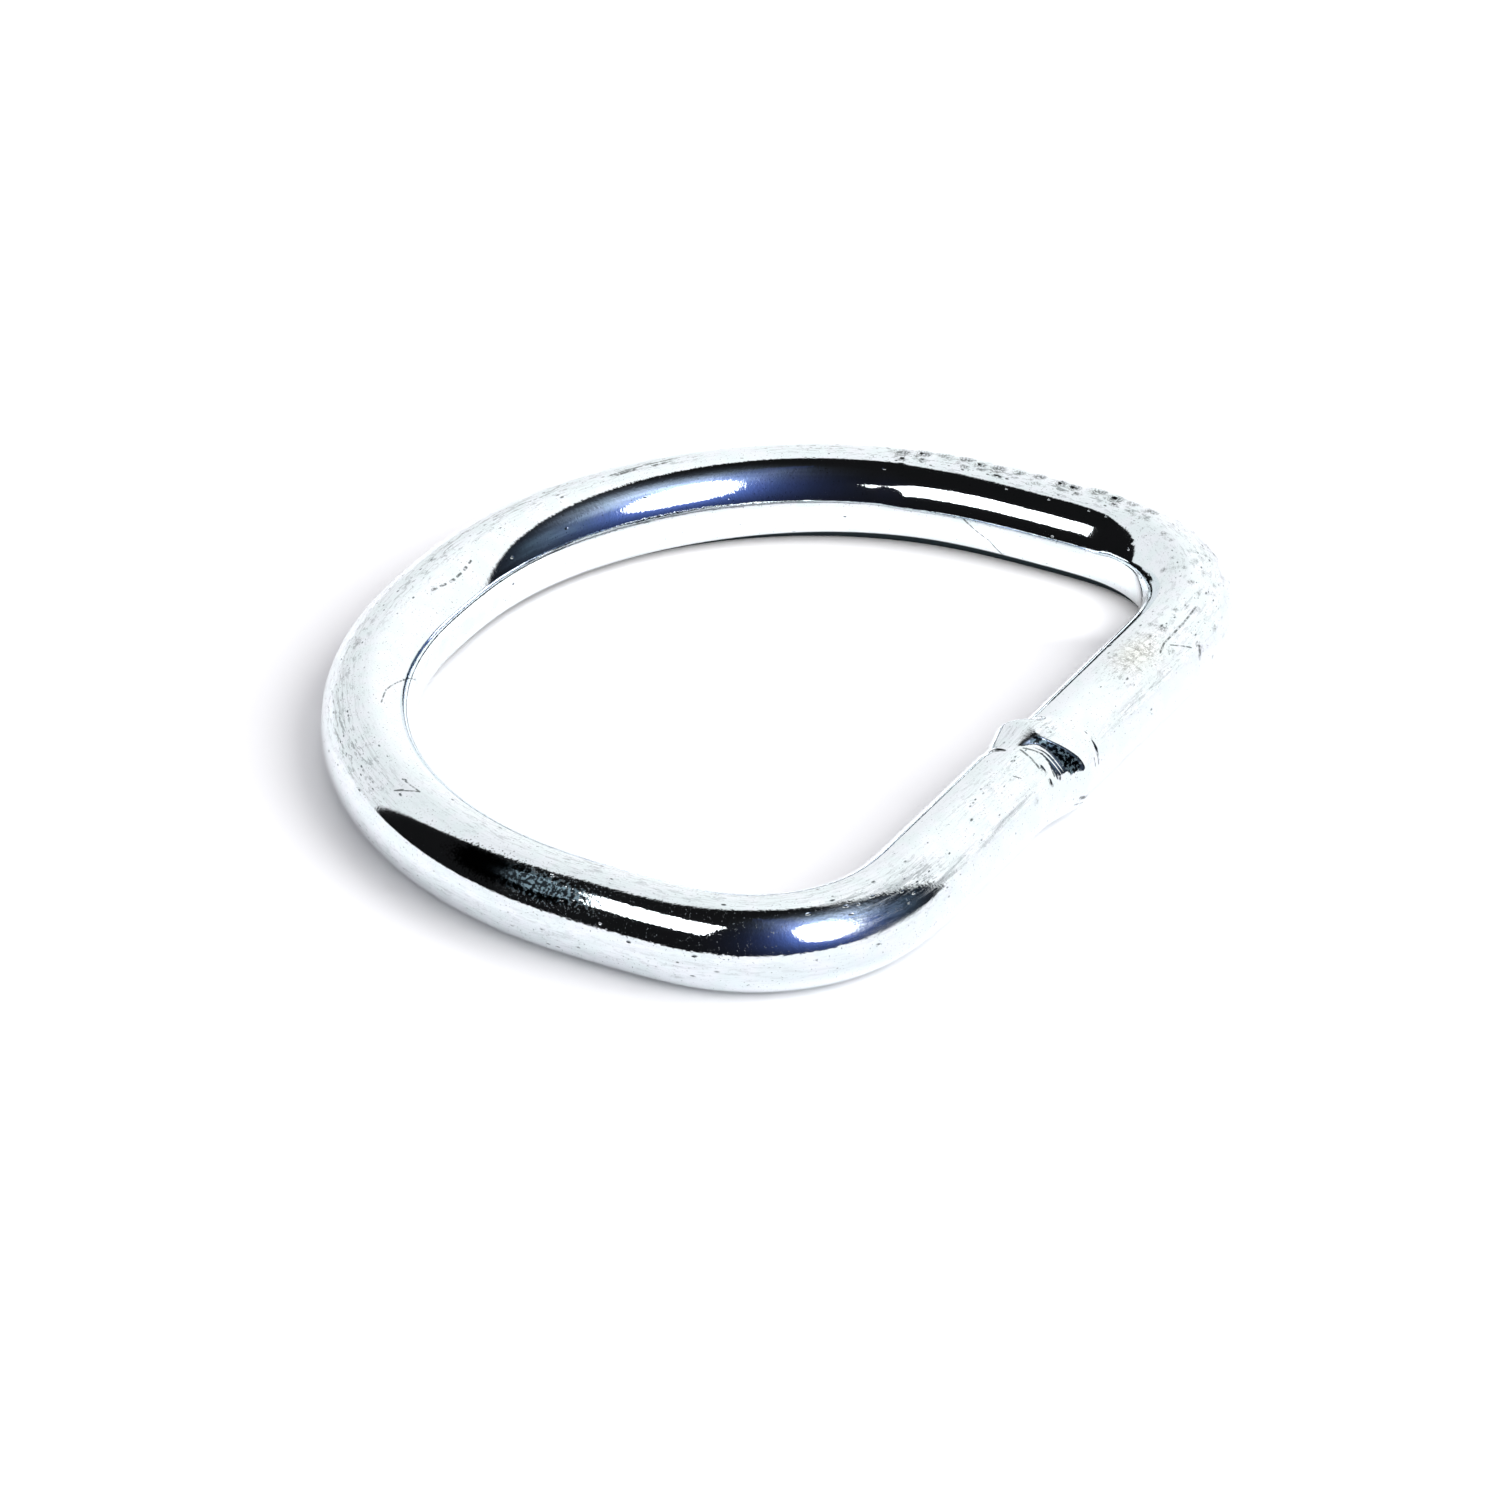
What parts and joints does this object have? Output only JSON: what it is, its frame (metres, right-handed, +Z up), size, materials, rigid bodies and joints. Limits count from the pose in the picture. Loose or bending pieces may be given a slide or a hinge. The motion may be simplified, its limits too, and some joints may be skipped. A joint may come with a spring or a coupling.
{
  "type": "d ring",
  "caption": "Welded D-shaped ring of round steel wire: a straight bar for a sewn strap or belt, and a round crown for a hook, cord or second strap.",
  "frame": {"origin": "middle of the ring's outline seen from above, on the surface that the ring lies on", "axes": "+X along the straight bar, +Y from the bar towards the crown, +Z up from the surface"},
  "size_m": [0.062, 0.0492, 0.0068],
  "materials": {
    "plated_steel": "bright zinc plating on steel wire, with fine pits, drawn lines and tool marks"
  },
  "bodies": {
    "root": {"ring": "plated_steel"}
  },
  "joints": []
}
